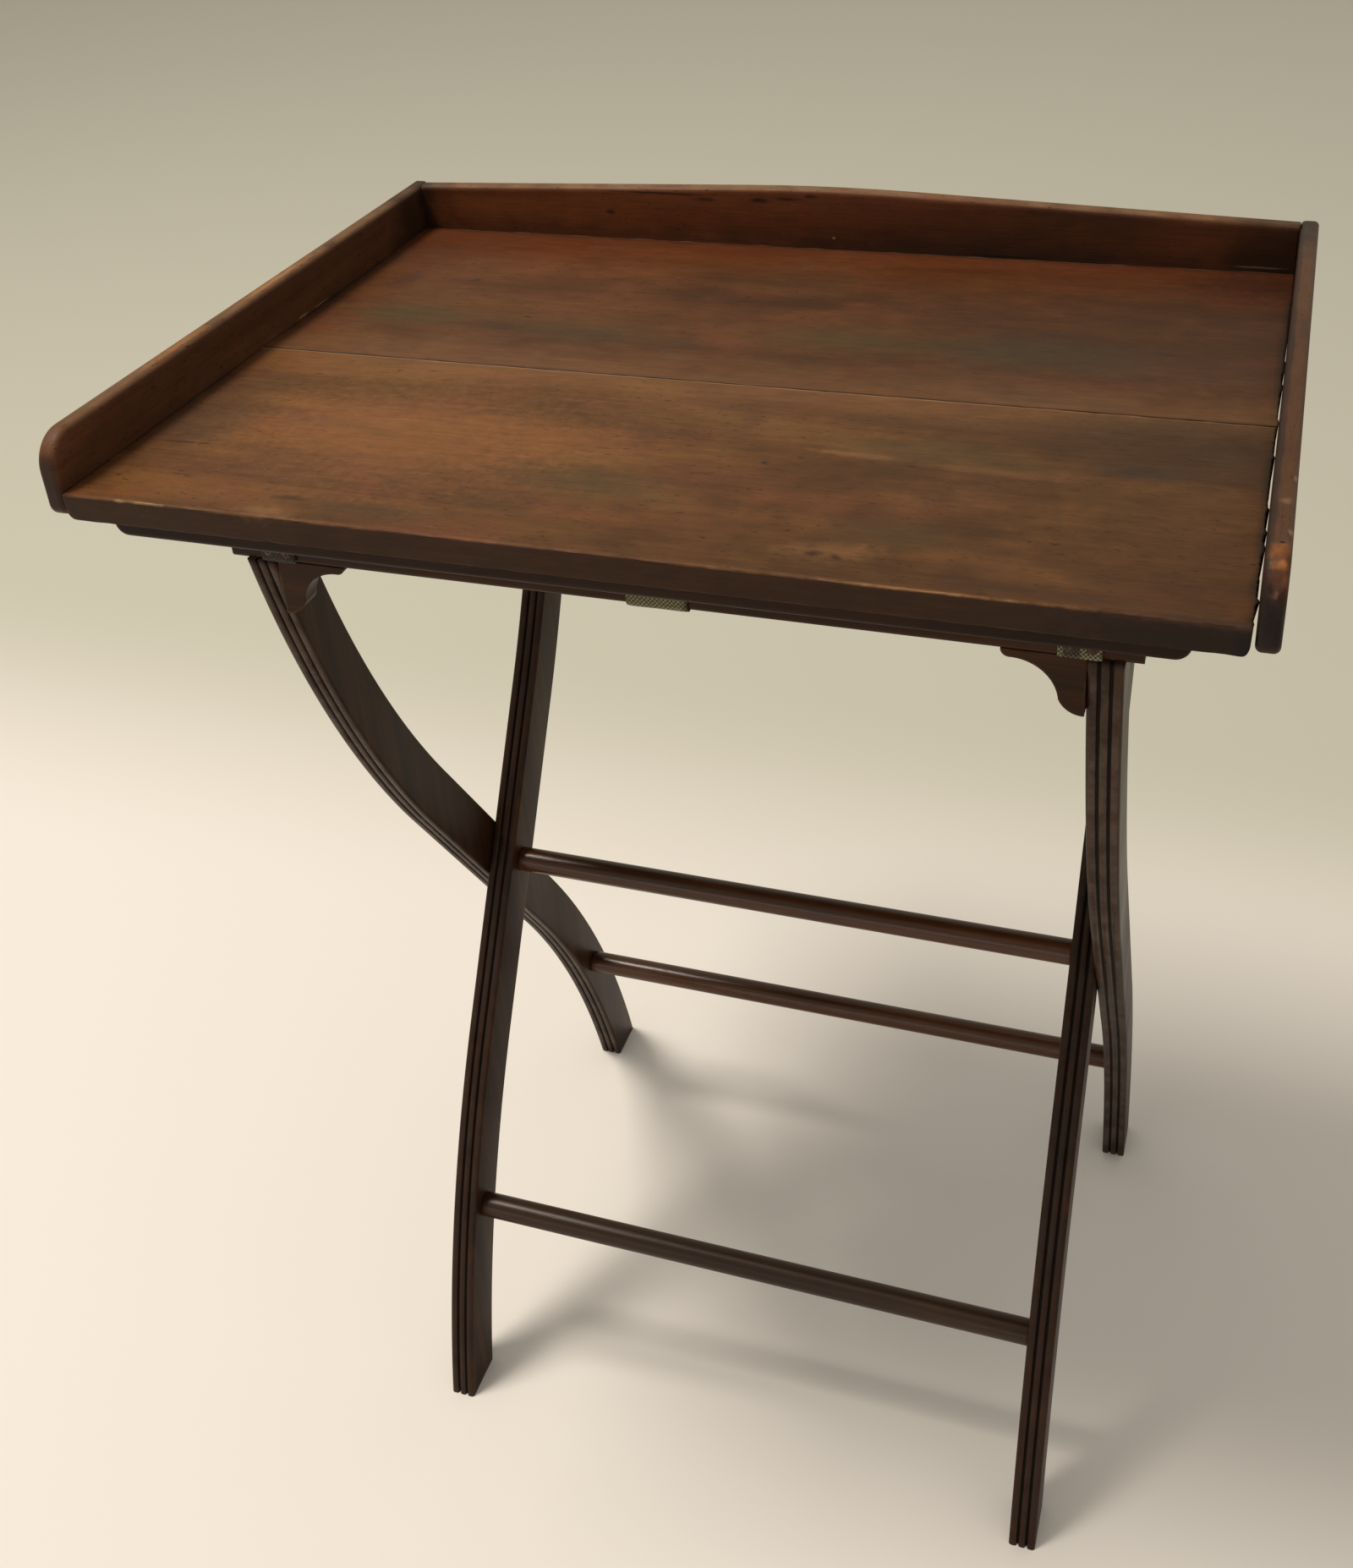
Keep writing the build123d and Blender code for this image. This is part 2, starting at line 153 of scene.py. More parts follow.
def reedDepth(x, thickness):
    # Each third of the edge is a shallow parabola, grooves of 1 / (1 + (x / half) ^ 6) part the thirds, and
    # the arrises are quarter rounds; the grooves come back by themselves too, for their grime
    third = thickness / 3
    within = (x + thickness / 2) / third
    crown = leg["reedCrown"] * (2 * (within - np.floor(np.clip(within, 0, 2.999))) - 1) ** 2
    grooves = sum(1 / (1 + ((x - side * third / 2) / leg["grooveHalf"]) ** 6) for side in (-1, 1))
    radius = leg["arrisRadius"]
    over = np.clip(np.abs(x) - thickness / 2 + radius, 0, radius)
    arris = radius - np.sqrt(radius ** 2 - over ** 2)
    return crown * (over == 0) + leg["grooveDepth"] * grooves + arris + leg["reedCrown"] * (over > 0), grooves


def makeLeg(name, frameBody, lean):
    # The middle line's two offsets by half the width are read at even heights, cut in by the reeds' depth,
    # and joined to a ring at each height
    low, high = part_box(name)
    thickness = high.x - low.x
    topHeight = high.z - leg["tenonHeight"]
    railLow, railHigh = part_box("front_top_rail")
    pivotLow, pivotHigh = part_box("pivot_rod")
    railMiddle = -(railLow.y + railHigh.y) / 2
    pivotHeight = (pivotLow.z + pivotHigh.z) / 2
    reach = math.hypot(topHeight - pivotHeight, railMiddle) * leg["overrun"]
    distance = np.linspace(-reach, reach, leg["linePoints"])
    centre, normal = legCentre(distance, lean, pivotHeight, railMiddle, topHeight)
    straight = leg["straightHalf"]
    widths = [leg["footWidth"], leg["middleWidth"], leg["middleWidth"], leg["endWidth"]]
    half = np.interp(distance, [-reach, -straight, straight, reach], widths) / 2
    bevel = np.sin(np.linspace(0, quarter, leg["arrisPoints"])) * leg["arrisRadius"]
    inner = thickness / 2 - leg["arrisRadius"]
    even = np.linspace(-inner, inner, leg["edgePoints"])[1:-1]
    fine = np.linspace(-leg["grooveReach"], leg["grooveReach"], leg["groovePoints"])
    body = np.unique(np.concatenate([even, fine - thickness / 6, fine + thickness / 6]))
    x = np.concatenate([-inner - bevel[::-1], body, inner + bevel])
    z = np.linspace(0, topHeight, leg["levels"])
    depth, grooves = reedDepth(x, thickness)
    rows = []
    for side in (-1, 1):       # the edge at lower y, then the one at higher y
        edge = centre + normal * (side * lean * half)[:, None]
        order = np.argsort(edge[:, 1])
        y = np.interp(z, edge[order, 1], edge[order, 0])
        slope = np.gradient(y, z)
        inward = -side * depth[None, :] * np.sqrt(1 + slope[:, None] ** 2)
        rows.append(y[:, None] + inward)
    ring = np.concatenate([rows[0], rows[1][:, ::-1]], 1)
    across = np.concatenate([x, x[::-1]]) + (low.x + high.x) / 2
    points = np.stack(np.broadcast_arrays(across, ring, z[:, None]), -1)
    piece = meshPiece(name + "_reeded", points.reshape(-1, 3), barFaces(len(z), ring.shape[1]))
    crowns = (1 - grooves) * np.clip((inner - np.abs(x)) / mm + 0.6, 0, 1)     # fades out over the last 1 mm
    for label, values in (("hollow", grooves), ("crown", crowns)):
        layer = piece.data.attributes.new(label, "FLOAT", "POINT")
        layer.data.foreach_set("value", np.tile(np.concatenate([values, values[::-1]]), len(z)))
    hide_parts(name)
    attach(piece, frameBody)
    return piece


legs = {
    "outer": [makeLeg("outer_leg_left", "outer_frame", -1), makeLeg("outer_leg_right", "outer_frame", -1)],
    "inner": [makeLeg("inner_leg_left", "inner_frame", 1), makeLeg("inner_leg_right", "inner_frame", 1)],
}
print("legs made")


# Tray boards: two planks, the front arris rubbed and nicked, the right end shrunk away from its gallery

board = {
    "step": 2.6 * mm,
    "edgeRows": (0, 0.3, 0.6, 1.0, 1.5, 2.1, 2.9, 4.0),     # in mm: the rows of points next to an edge
    "edgeMargin": 6 * mm,
    "faceRows": (1.2, 3.2, 5.0, 6.2, 7.0, 7.5, 7.9),        # in mm from the middle of the thickness
    "waviness": 0.08 * mm,      # how far the top sinks, from flatMargin inwards
    "waveLength": 140 * mm,
    "waveWidth": 60 * mm,
    "flatMargin": 8 * mm,
    "sawing": 0.15 * mm,        # unevenness of the underside
    "sawingLength": 25 * mm,
    "frontWear": 0.9 * mm,      # how far the front arris is rubbed down at its worst
    "frontWearLength": 80 * mm,
    "wearReach": 2.2 * mm,
    "faceShare": 0.8,           # how much of that the face loses beside the top
    "nicks": 14,
    "nickLength": (2 * mm, 9 * mm),
    "seamEase": 0.35 * mm,
    "seamWander": 0.15 * mm,
    "seamWanderLength": 30 * mm,
    "easeReach": 1 * mm,
    "seamOpening": 0.6 * mm,    # the joint opens towards the right, from openFrom on
    "openFrom": 60 * mm,
    "openOver": 180 * mm,
    "openReach": 2 * mm,
    "endArris": 0.8 * mm,
    "cornerRadius": 5.0 * mm,   # the front ends' lower corners
    "cornerSlant": 1.2 * mm,
    "cornerReach": 40 * mm,     # how far back the corners are rounded
    "rightShare": 0.5,          # the right end is rounded less than the left
    "frontGap": 1.5 * mm,       # between the right end and its gallery
    "backGap": 0.6 * mm,
    "leastGap": 0.04 * mm,
    "raggedness": 0.45 * mm,
    "raggedLength": 6 * mm,
    "splinters": ((-217, 3.2), (-164.5, 6.2), (-146.5, 4), (-121, 1.2), (-58, 2.4), (-14, 5.5),
                  (36.5, 7), (62, 4), (71, 5.5), (152, 80)),    # in mm: where they close the gap, half length
    "splinterHeight": 10 * mm,  # they are above this height in the board
}


def wander(place, length, draw, waves=9):
    # A smooth random line: sines whose wavelengths spread round length, added up, mostly between -1 and 1
    turns = 2 * math.pi / (length * draw.uniform(0.55, 1.8, waves))
    phases = draw.uniform(0, 2 * math.pi, waves)
    return np.sin(np.asarray(place)[..., None] * turns + phases).sum(-1) / math.sqrt(waves)


def spread(start, end):
    # Even steps from start to end, with finer ones next to both
    fine = np.array(board["edgeRows"]) * mm
    margin = board["edgeMargin"]
    inner = np.linspace(start + margin, end - margin, int((end - start) / board["step"]))
    return np.concatenate([start + fine, inner, (end - fine)[::-1]])


def quarterInset(distance, radius):
    # How far a round corner of this radius lies inside the square one, at a distance from its end
    within = np.clip(radius - distance, 0, radius)
    return radius - np.sqrt(radius ** 2 - within ** 2)


def boardEnds(y, z, low, high, draw):
    # Where each line along the plank starts and ends. The right end keeps a ragged gap to its gallery, which
    # splinters close in steps of exp(-(y / half length) ^ 4); the front ends' lower corners are rounded
    frontY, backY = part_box("tray_board_front")[0].y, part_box("tray_board_back")[1].y
    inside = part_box("gallery_right")[0].x
    gap = board["frontGap"] + (board["backGap"] - board["frontGap"]) * (y - frontY) / (backY - frontY)
    ragged = board["raggedness"] * wander(y, board["raggedLength"], draw) * np.clip(gap / (2 * mm), 0.2, 1)
    closed = sum(np.exp(-((y / mm - at) / wide) ** 4) for at, wide in board["splinters"])
    opened = 1 - closed * (z > low.z + board["splinterHeight"])
    slant = board["cornerSlant"] * (high.z - z) / (high.z - low.z)
    corner = quarterInset(z - low.z, board["cornerRadius"]) + slant
    corner = corner * np.clip(1 - (y - frontY) / board["cornerReach"], 0, 1)
    end = inside - np.maximum((gap + ragged) * opened, board["leastGap"]) - board["rightShare"] * corner
    return low.x + corner, end


def makeBoard(name, seed):
    # A ring of points round the plank's section is carried from its left end to its right, then rubbed down
    # along its upper arrises by exp(-(distance / reach) ^ 2) and made uneven by slow sines
    draw = np.random.default_rng(seed)
    low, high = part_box(name)
    isFront = name.endswith("front")
    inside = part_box("gallery_right")[0].x
    middleY, middleZ = (low.y + high.y) / 2, (low.z + high.z) / 2
    rise = np.array(board["faceRows"]) * mm
    top = spread(low.y, high.y)[::-1]
    halfY = np.concatenate([np.full(len(rise), high.y), top, np.full(len(rise), low.y)])
    halfZ = np.concatenate([rise, np.full(len(top), high.z - middleZ), rise[::-1]])
    y = np.concatenate([halfY, halfY[::-1]])
    z = np.concatenate([middleZ + halfZ, middleZ - halfZ[::-1]])
    share = (spread(low.x, inside) - low.x) / (inside - low.x)
    start, end = boardEnds(y, z, low, high, draw)
    x = start + share[:, None] * (end - start)
    inset = quarterInset(np.minimum(x - start, end - x), board["endArris"])
    gridY = y - inset * (y - middleY) / (high.y - middleY)
    gridZ = z - inset * (z - middleZ) / (high.z - middleZ)
    alongX = x[:, :1]
    nickPlaces = draw.uniform(low.x, high.x, board["nicks"])
    nickLengths = draw.uniform(*board["nickLength"], board["nicks"])
    nicks = sum(np.exp(-((alongX - place) / size) ** 2) for place, size in zip(nickPlaces, nickLengths))
    rubbing = 0.45 + 0.3 * wander(alongX, board["frontWearLength"], draw) + 0.5 * nicks
    wear = board["frontWear"] * np.clip(rubbing, 0.1, 1.3)
    ease = board["seamEase"] + board["seamWander"] * wander(alongX, board["seamWanderLength"], draw)
    onTop = z > high.z - tiny
    longReach, shortReach = board["wearReach"], board["easeReach"]
    frontEdge = (low.y, 1, wear, longReach, longReach) if isFront else (low.y, 1, ease, shortReach, longReach)
    for edge, side, amount, topReach, faceReach in (frontEdge, (high.y, -1, ease, shortReach, shortReach)):
        onFace = np.abs(y - edge) < tiny
        gridZ = gridZ - onTop * amount * np.exp(-((y - edge) / topReach) ** 2)
        gridY = gridY + side * onFace * board["faceShare"] * amount * np.exp(-((high.z - z) / faceReach) ** 2)
    if isFront:
        opening = board["seamOpening"] * np.clip((alongX - board["openFrom"]) / board["openOver"], 0, 1)
        fromSeam = np.abs(y - high.y)
        nearSeam = (fromSeam < 2 * board["openReach"]) * np.exp(-(fromSeam / board["openReach"]) ** 2)
        gridY = gridY - nearSeam * opening
        rough = 1 + wander(alongX, board["sawingLength"], draw)
        gridZ = gridZ + (z < low.z + tiny) * board["sawing"] * rough
    flat = onTop & (y > low.y + board["flatMargin"]) & (y < high.y - board["flatMargin"])
    slowWaves = wander(alongX, board["waveLength"], draw) * wander(y, board["waveWidth"], draw)
    gridZ = np.clip(gridZ - flat * board["waviness"] * (1 + slowWaves) / 2, low.z, high.z)
    points = np.stack([x, gridY, gridZ], -1).reshape(-1, 3)
    piece = meshPiece(name + "_planed", points, barFaces(len(share), len(y)))
    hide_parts(name)
    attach(piece, "tray")
    return piece


boards = {"front": makeBoard("tray_board_front", 11), "back": makeBoard("tray_board_back", 12)}
print("boards made")


# Webbing straps: woven bands stretched over the rails, flat under the tray

strap = {
    "thickness": 1.4 * mm,
    "solidThickness": 1.5 * mm,     # of the band in the solids, whose middle this one follows
    "cornerRadius": 3.9 * mm,
    "underRail": 6 * mm,            # how far the middle band's ends come out behind the rails
    "step": 2.5 * mm,
    "columns": 19,
    "margin": 1.2 * mm,             # how much narrower it is than its box, for its edges wander
    "edgeWander": 0.35 * mm,
    "edgeWaves": 60,
    "ripple": 0.12 * mm,
    "rippleLength": 9 * mm,
}


def strapPath(name):
    # The band's middle line in Y and Z: up the front rail, across and down the back rail, with round corners
    low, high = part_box(name)
    half = (high.y - low.y - strap["thickness"]) / 2
    middle = (low.y + high.y) / 2
    inward = strap["solidThickness"] / 2
    top = high.z - inward
    wrapped = name == "strap_middle"
    bottom = low.z + (inward if wrapped else 0)
    corners = [(-half, bottom), (-half, top), (half, top), (half, bottom)]
    if wrapped:
        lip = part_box("front_top_rail")[1].y + strap["underRail"]
        corners = [(lip, bottom)] + corners + [(-lip, bottom)]
    radius = strap["cornerRadius"]
    pieces = [np.array(corners[:1])]
    for before, here, after in zip(corners, corners[1:], corners[2:]):
        here, a, b = np.array(here), np.array(before), np.array(after)
        inWay, outWay = (a - here) / np.linalg.norm(a - here), (b - here) / np.linalg.norm(b - here)
        t = np.linspace(0, quarter, 7)[:, None]
        centre = here + radius * (inWay + outWay)
        pieces.append(centre - radius * (outWay * np.cos(t) + inWay * np.sin(t)))
    pieces.append(np.array(corners[-1:]))
    rough = np.concatenate(pieces) + [middle, 0]
    gaps = np.linalg.norm(np.diff(rough, axis=0), axis=1)
    length = np.concatenate([[0], np.cumsum(gaps)])
    steps = np.unique(np.concatenate([length, np.arange(0, length[-1], strap["step"])]))
    return np.stack([np.interp(steps, length, rough[:, i]) for i in (0, 1)], -1), steps


def makeStrap(name, seed):
    # The middle line's two offsets by half the thickness, thinned to the sides by 1 - (2 * across) ^ 8 / 2
    # and rippled by a sine, are joined to a ring at each step along it
    draw = np.random.default_rng(seed)
    low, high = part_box(name)
    path, steps = strapPath(name)
    tangent = np.gradient(path, axis=0)
    tangent /= np.linalg.norm(tangent, axis=1)[:, None]
    normal = np.stack([-tangent[:, 1], tangent[:, 0]], -1)
    width = high.x - low.x
    across = np.linspace(-0.5, 0.5, strap["columns"])
    waves = strap["edgeWaves"]
    sideways = strap["edgeWander"] * np.interp(
        steps, np.linspace(0, steps[-1], waves), draw.uniform(-1, 1, waves))
    widths = width - strap["margin"] + sideways
    lift = strap["ripple"] * np.sin(steps[:, None] / strap["rippleLength"] + across[None, :] * 5)
    rows = []
    for side in (1, -1):
        offset = side * strap["thickness"] / 2 * (1 - 0.5 * (2 * np.abs(across[None, :])) ** 8) + lift
        x = (low.x + high.x) / 2 + across[None, :] * widths[:, None]
        yz = path[:, None, :] + normal[:, None, :] * offset[..., None]
        rows.append(np.concatenate([x[..., None], yz], -1))
    ring = np.concatenate([rows[0], rows[1][:, ::-1]], 1)
    piece = meshPiece(name + "_woven", ring.reshape(-1, 3), barFaces(*ring.shape[:2]))
    place = np.concatenate([across, across[::-1]]) * width
    uv = np.stack(np.broadcast_arrays(place, steps[:, None]), -1).reshape(-1, 2)
    corner = np.empty(len(piece.data.loops), int)
    piece.data.loops.foreach_get("vertex_index", corner)
    piece.data.uv_layers.new(name="weave").data.foreach_set("uv", uv[corner].ravel())
    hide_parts(name)
    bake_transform(piece)
    return piece


strapSeeds = {"strap_left": 3, "strap_middle": 4, "strap_right": 5}
straps = {name: makeStrap(name, seed) for name, seed in strapSeeds.items()}
print("straps made")


# Old mahogany, sawn, planed and varnished or waxed: the eye sees a satin red-brown ground with long figure,
# short dark pores, cloudy olive and red stains, grime in the corners and arrises rubbed pale

woodLook = {                    # for all the wood; each piece's own look adds its colours
    "figureLength": 420 * mm,
    "figureWidth": 34 * mm,
    "fibreLength": 60 * mm,
    "fibreWidth": 1.9 * mm,     # real fibres are finer; drawn so that they show
    "fibreRange": (0.86, 1.12),
    "mottleSize": 8 * mm,
    "mottleStretch": 2.2,
    "mottleRange": (0.84, 1.14),
    "poreLength": 9 * mm,
    "poreWidth": 1.1 * mm,      # real pores are a fifth as wide; drawn so that they show
    "pore": "#2a1a12",
    "poreAmount": 0.5,
    "fleckLength": 6 * mm,
    "fleckWidth": 1.9 * mm,
    "fleck": "#2a1a12",
    "fleckAmount": 0.0,
    "stainLength": 260 * mm,
    "stainWidth": 90 * mm,
    "blushLength": 130 * mm,
    "blushWidth": 55 * mm,
    "blush": "#6b3a22",
    "blushAmount": 0.0,
    "wearRadius": 2.2 * mm,
    "wearAmount": 0.6,          # on the arrises
    "topWear": 0.0,             # on whatever faces up
    "dirt": "#1c130c",
    "smudgeSize": 26.316 * mm,
    "patchSize": 22.222 * mm,
    "rimSize": 6.25 * mm,       # of the noise that breaks up a mark's rim
    "rimReach": 0.65,           # how far it pushes the rim, as a share of the mark
    "hollows": 0.0,             # how dark the grooves of a reeded piece are
    "hollow": "#0d0806",
    "bands": (),                # each: axis, where it starts and is full in mm, how strong, colour
    "spots": (),                # each: middle and half size in mm, turn in degrees, how strong, colour
    "bumpDepth": 0.10 * mm,
    "shift": (0, 0, 0),         # moves the pattern, so that no two boards look alike
}


def woodMaterial(name, changes, turn=(0, 0, 0)):
    # Figure, fibres, pores and stains are noises stretched along the grain; the Bevel node finds the arrises;
    # masks are painted one over another, each with its own colour
    look = {**woodLook, **changes}
    material, tree = newMaterial(name)
    coords = addNode(tree, "ShaderNodeTexCoord").outputs["Object"]
    geometry = addNode(tree, "ShaderNodeNewGeometry")
    layers = []

    def grain(length, width):
        # Coordinates in which one unit is the pattern's real length along the grain and its width across it
        return addNode(tree, "ShaderNodeMapping", {
            "Vector": coords, "Location": look["shift"], "Rotation": turn, "Scale": (length, width, width)},
            vector_type="TEXTURE").outputs[0]

    def cloud(mark, detail, roughness, distortion, begin, full, edge="LINEAR"):
        # One colour laid on where a noise along the grain rises from begin to full
        noise = addNode(tree, "ShaderNodeTexNoise", {
            "Vector": grain(look[mark + "Length"], look[mark + "Width"]), "Scale": 1.0, "Detail": detail,
            "Roughness": roughness, "Distortion": distortion})
        mask = addNode(tree, "ShaderNodeMapRange", {
            "Value": noise.outputs["Fac"], "From Min": begin, "From Max": full, "To Min": 0.0,
            "To Max": look[mark + "Amount"]}, interpolation_type=edge)
        layers.append((mask, look[mark]))
        return noise, mask

    figure = addNode(tree, "ShaderNodeTexNoise", {
        "Vector": grain(look["figureLength"], look["figureWidth"]), "Scale": 1.0, "Detail": 3.5,
        "Roughness": 0.5, "Distortion": 0.5})
    ground = addNode(tree, "ShaderNodeValToRGB", {"Fac": figure.outputs["Fac"]}, stops=look["stops"])
    fibre = addNode(tree, "ShaderNodeTexNoise", {
        "Vector": grain(look["fibreLength"], look["fibreWidth"]), "Scale": 1.0, "Detail": 4.0,
        "Roughness": 0.65})
    mottle = addNode(tree, "ShaderNodeTexNoise", {
        "Vector": grain(look["mottleSize"] * look["mottleStretch"], look["mottleSize"]), "Scale": 1.0,
        "Detail": 6.0, "Roughness": 0.7})
    tones = [addNode(tree, "ShaderNodeMapRange", {
        "Value": noise.outputs["Fac"], "From Min": 0.3, "From Max": 0.7, "To Min": low, "To Max": high})
        for noise, (low, high) in ((fibre, look["fibreRange"]), (mottle, look["mottleRange"]))]
    cloud("blush", 3.0, 0.5, 0.4, 0.42, 0.68, "SMOOTHSTEP")
    stain, _ = cloud("stain", 3.0, 0.5, 0.3, 0.48, 0.68, "SMOOTHSTEP")

    # Wear on what faces up, where hands have been
    smudge = addNode(tree, "ShaderNodeTexNoise", {
        "Vector": coords, "Scale": 1 / look["smudgeSize"], "Detail": 5.0})
    facing = addNode(tree, "ShaderNodeSeparateXYZ", {0: geometry.outputs["Normal"]})
    upward = addNode(tree, "ShaderNodeMapRange", {
        "Value": facing.outputs["Z"], "From Min": 0.35, "From Max": 0.9, "To Min": 0.0,
        "To Max": look["topWear"]})
    handled = addNode(tree, "ShaderNodeMapRange", {
        "Value": smudge.outputs["Fac"], "From Min": 0.35, "From Max": 0.6, "To Min": 0.35, "To Max": 1.0})
    layers.append((addNode(tree, "ShaderNodeMath", {0: upward.outputs[0], 1: handled.outputs[0]},
                           operation="MULTIPLY"), look["worn"]))
    _, poreMask = cloud("pore", 2.0, 0.5, 0.0, 0.63, 0.73)
    cloud("fleck", 1.0, 0.4, 0.0, 0.69, 0.75)

    # Bands along one axis, such as grime in a corner and painted shade across a board, with a wandering edge;
    # worn ones are patchy too
    place = addNode(tree, "ShaderNodeSeparateXYZ", {0: coords})
    patchy = addNode(tree, "ShaderNodeTexNoise", {
        "Vector": coords, "Scale": 1 / look["patchSize"], "Detail": 4.0, "Roughness": 0.7})
    patches = addNode(tree, "ShaderNodeMapRange", {
        "Value": patchy.outputs["Fac"], "From Min": 0.42, "From Max": 0.62, "To Min": 0.12, "To Max": 1.0})
    for axis, beginMm, fullMm, strength, hue in look["bands"]:
        begin, full = beginMm * mm, fullMm * mm
        wide = full - begin
        wobble = addNode(tree, "ShaderNodeMath", {0: smudge.outputs["Fac"], 1: -1.6 * wide, 2: 0.8 * wide},
                         operation="MULTIPLY_ADD")
        moved = addNode(tree, "ShaderNodeMath", {0: place.outputs[axis], 1: wobble.outputs[0]},
                        operation="ADD")
        band = addNode(tree, "ShaderNodeMapRange", {
            "Value": moved.outputs[0], "From Min": begin, "From Max": full, "To Min": 0.0,
            "To Max": strength}, interpolation_type="SMOOTHSTEP")
        if hue == "worn":
            band = addNode(tree, "ShaderNodeMath", {0: band.outputs[0], 1: patches.outputs[0]},
                           operation="MULTIPLY")
        layers.append((band, look.get(hue, hue)))

    # Arrises: where the rounded normal leaves the flat one, the varnish is rubbed through in patches
    bevel = addNode(tree, "ShaderNodeBevel", {"Radius": look["wearRadius"]}, samples=6)
    turned = addNode(tree, "ShaderNodeVectorMath", {0: bevel.outputs[0], 1: geometry.outputs["Normal"]},
                     operation="DOT_PRODUCT")
    rubbed = addNode(tree, "ShaderNodeMapRange", {
        "Value": turned.outputs["Value"], "From Min": 0.995, "From Max": 0.82, "To Min": 0.0,
        "To Max": look["wearAmount"]})
    layers.append((addNode(tree, "ShaderNodeMath", {0: rubbed.outputs[0], 1: patches.outputs[0]},
                           operation="MULTIPLY", use_clamp=True), look["worn"]))

    # Marks of use at known places: each is an ellipsoid whose rim a fine noise breaks up. It fades in from
    # there, and is full at a fifth of its size, or at the share of it that its sixth value gives
    ragged = addNode(tree, "ShaderNodeTexNoise", {
        "Vector": coords, "Scale": 1 / look["rimSize"], "Detail": 4.0, "Roughness": 0.6})
    push = look["rimReach"]
    pushed = addNode(tree, "ShaderNodeVectorMath", {
        0: ragged.outputs["Color"], 1: (2 * push,) * 3, 2: (-push,) * 3}, operation="MULTIPLY_ADD")
    for middle, size, angle, strength, hue, *crisp in look["spots"]:
        local = addNode(tree, "ShaderNodeMapping", {
            "Vector": coords, "Location": np.array(middle) * mm, "Rotation": (0, 0, math.radians(angle)),
            "Scale": np.array(size) * mm}, vector_type="TEXTURE")
        moved = addNode(tree, "ShaderNodeVectorMath", {0: local.outputs[0], 1: pushed.outputs[0]},
                        operation="ADD")
        reach = addNode(tree, "ShaderNodeVectorMath", {0: moved.outputs[0]}, operation="LENGTH")
        full = crisp[0] if crisp else 0.2
        layers.append((addNode(tree, "ShaderNodeMapRange", {
            "Value": reach.outputs["Value"], "From Min": 1.15, "From Max": full, "To Min": 0.0,
            "To Max": strength}, interpolation_type="SMOOTHSTEP"), look.get(hue, hue)))

    # Reeded pieces carry their own attributes: grime in the grooves, and on the crowns worn polish with a
    # painted sheen, the reflection of the pale floor
    if look["hollows"]:
        hollow = addNode(tree, "ShaderNodeAttribute", attribute_name="hollow")
        layers.append((addNode(tree, "ShaderNodeMapRange", {
            "Value": hollow.outputs["Fac"], "From Min": 0.15, "From Max": 0.6, "To Min": 0.0,
            "To Max": look["hollows"]}), look["hollow"]))
        crown = addNode(tree, "ShaderNodeAttribute", attribute_name="crown")
        layers.append((addNode(tree, "ShaderNodeMath", {0: crown.outputs["Fac"], 1: patches.outputs[0]},
                               operation="MULTIPLY"), look["reedTopWearAndSheen"]))

    painted = ground.outputs["Color"]
    for mask, hue in layers:
        painted = addNode(tree, "ShaderNodeMix", {
            "Factor": mask.outputs[0], 6: painted, 7: linearColour(hue)}, data_type="RGBA").outputs[2]
    tone = addNode(tree, "ShaderNodeMath", {0: tones[0].outputs[0], 1: tones[1].outputs[0]},
                   operation="MULTIPLY")
    toned = addNode(tree, "ShaderNodeVectorMath", {0: painted, 1: tone.outputs[0]}, operation="MULTIPLY")
    gloss = addNode(tree, "ShaderNodeMapRange", {
        "Value": stain.outputs["Fac"], "From Min": 0.35, "From Max": 0.65,
        "To Min": look["roughness"][0], "To Max": look["roughness"][1]})
    height = addNode(tree, "ShaderNodeMath", {0: poreMask.outputs[0], 1: -1.2, 2: fibre.outputs["Fac"]},
                     operation="MULTIPLY_ADD")
    bump = addNode(tree, "ShaderNodeBump", {
        "Height": height.outputs[0], "Strength": 1.0, "Distance": look["bumpDepth"],
        "Normal": bevel.outputs[0]})
    shader = addNode(tree, "ShaderNodeBsdfPrincipled", {
        "Base Color": toned.outputs[0], "Roughness": gloss.outputs[0], "Normal": bump.outputs[0], "IOR": 1.5,
        "Specular IOR Level": look["sheen"]})
    addNode(tree, "ShaderNodeOutputMaterial", {"Surface": shader.outputs[0]})
    return material


def dress(material, *names):
    # A node of the frame keeps its shape and takes the material
    for name in names:
        data = nodes[name].data
        data.materials.clear()
        data.materials.append(material)


# Boards: mahogany planks, planed, varnished and long in use. The eye sees a satin tan to red-brown top with
# olive stains, small dark scratches and knots, and dark dull edges

olive, knot, tan = "#44351c", "#2c1b10", "#87603c"
boardLook = {
    "figureLength": 200 * mm,
    "figureWidth": 42 * mm,
    "poreLength": 8 * mm,
    "poreWidth": 1.2 * mm,
    "stain": "#433219",
    "stainAmount": 0.3,
    "stainLength": 110 * mm,
    "stainWidth": 62 * mm,
    "blush": "#653821",
    "blushAmount": 0.45,
    "blushLength": 85 * mm,
    "blushWidth": 48 * mm,
    "fleckAmount": 0.75,
    "worn": "#8a6240",
    "wearRadius": 1.6 * mm,
    "wearAmount": 0.22,
    "roughness": (0.45, 0.58),
    "sheen": 0.16,
}
boardBands = (
    (0, -296, -337, 0.6, "#3a2015"),        # darker towards the left gallery, with grime in the corner
    (0, -329, -333, 0.8, "dirt"),
    (0, -120, 330, 0.6, "#351f0f"),         # darker towards the right: painted shade, as the light falls off; with grime at the open end
    (0, 326, 331.5, 0.6, "dirt"),
    (0, 330.6, 331.8, 0.9, "#120c08"),
    (1, -238.6, -240.6, 0.25, "worn"),      # the front arris
    (2, 830.7, 829.9, 0.93, "#2a1504"),     # the sides, below the top
)
